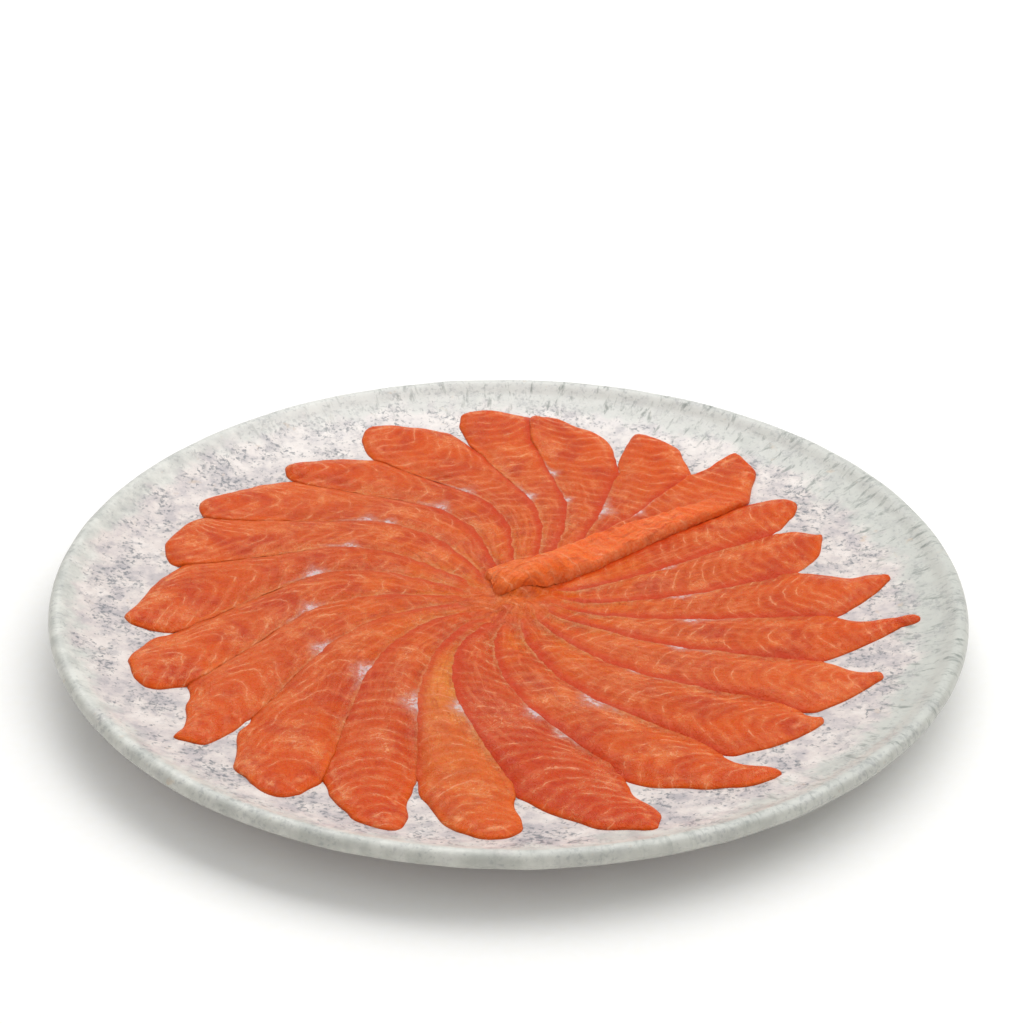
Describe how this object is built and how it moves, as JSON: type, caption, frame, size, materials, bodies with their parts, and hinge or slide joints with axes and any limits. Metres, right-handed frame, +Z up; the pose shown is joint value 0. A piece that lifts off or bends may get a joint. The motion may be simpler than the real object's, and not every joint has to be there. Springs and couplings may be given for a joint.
{
  "type": "plated trout carpaccio",
  "caption": "Shallow round stoneware plate with thin leaf-shaped slices of raw trout laid on it in an overlapping ring, tips outward.",
  "frame": {"origin": "on the table plane under the middle of the plate, at the middle of the foot ring", "axes": "+Z up out of the plate; -Y towards the diner's side, +X to the diner's right"},
  "size_m": [0.28, 0.28, 0.0214],
  "materials": {
    "stoneware": "pale grey-lilac glazed stoneware with small blue-grey speckles and a greenish grey rim",
    "flesh": "wet raw trout, salmon-orange with fine pale fat lines and small silvery patches"
  },
  "bodies": {
    "root": {"plate": "stoneware", "slice_01": "flesh", "slice_02": "flesh", "slice_03": "flesh", "slice_04": "flesh", "slice_05": "flesh", "slice_06": "flesh", "slice_07": "flesh", "slice_08": "flesh", "slice_09": "flesh", "slice_10": "flesh", "slice_11": "flesh", "slice_12": "flesh", "slice_13": "flesh", "slice_14": "flesh", "slice_15": "flesh", "slice_16": "flesh", "slice_17": "flesh", "slice_18": "flesh", "slice_19": "flesh", "slice_20": "flesh", "slice_21": "flesh", "slice_22": "flesh"}
  },
  "joints": []
}
